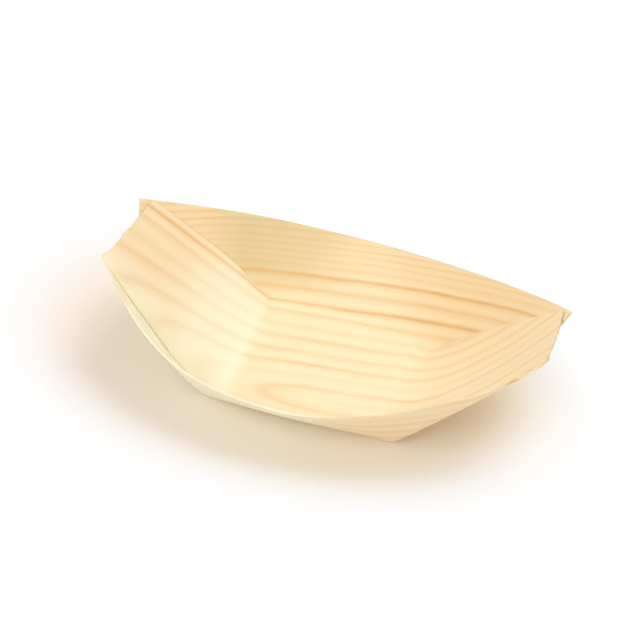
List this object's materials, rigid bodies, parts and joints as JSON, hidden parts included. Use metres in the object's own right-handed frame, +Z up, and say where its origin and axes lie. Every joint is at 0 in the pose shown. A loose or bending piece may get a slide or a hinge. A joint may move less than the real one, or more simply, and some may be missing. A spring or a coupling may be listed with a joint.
{
  "type": "folded wooden snack boat",
  "caption": "Shallow boat-shaped serving tray folded from one thin sheet of pine veneer, with sloping ends, curved side walls and pleated corners, for holding snacks.",
  "frame": {"origin": "on the ground under the middle of the boat, at the middle of its bounding box", "axes": "+X along the boat towards the narrower, steeper end, +Y across it, +Z up out of the boat"},
  "size_m": [0.1404, 0.0804, 0.0397],
  "materials": {
    "pine_veneer": "matte, untreated",
    "wood_glue": "dried, translucent"
  },
  "bodies": {
    "root": {"floor_panel": "pine_veneer", "near_side_wall": "pine_veneer", "far_side_wall": "pine_veneer", "left_end_panel": "pine_veneer", "right_end_panel": "pine_veneer", "near_left_inner_leaf": "pine_veneer", "near_left_outer_leaf": "pine_veneer", "near_left_glue_film": "wood_glue", "far_left_inner_leaf": "pine_veneer", "far_left_outer_leaf": "pine_veneer", "far_left_glue_film": "wood_glue", "near_right_inner_leaf": "pine_veneer", "near_right_outer_leaf": "pine_veneer", "near_right_glue_film": "wood_glue", "far_right_inner_leaf": "pine_veneer", "far_right_outer_leaf": "pine_veneer", "far_right_glue_film": "wood_glue"}
  },
  "joints": []
}
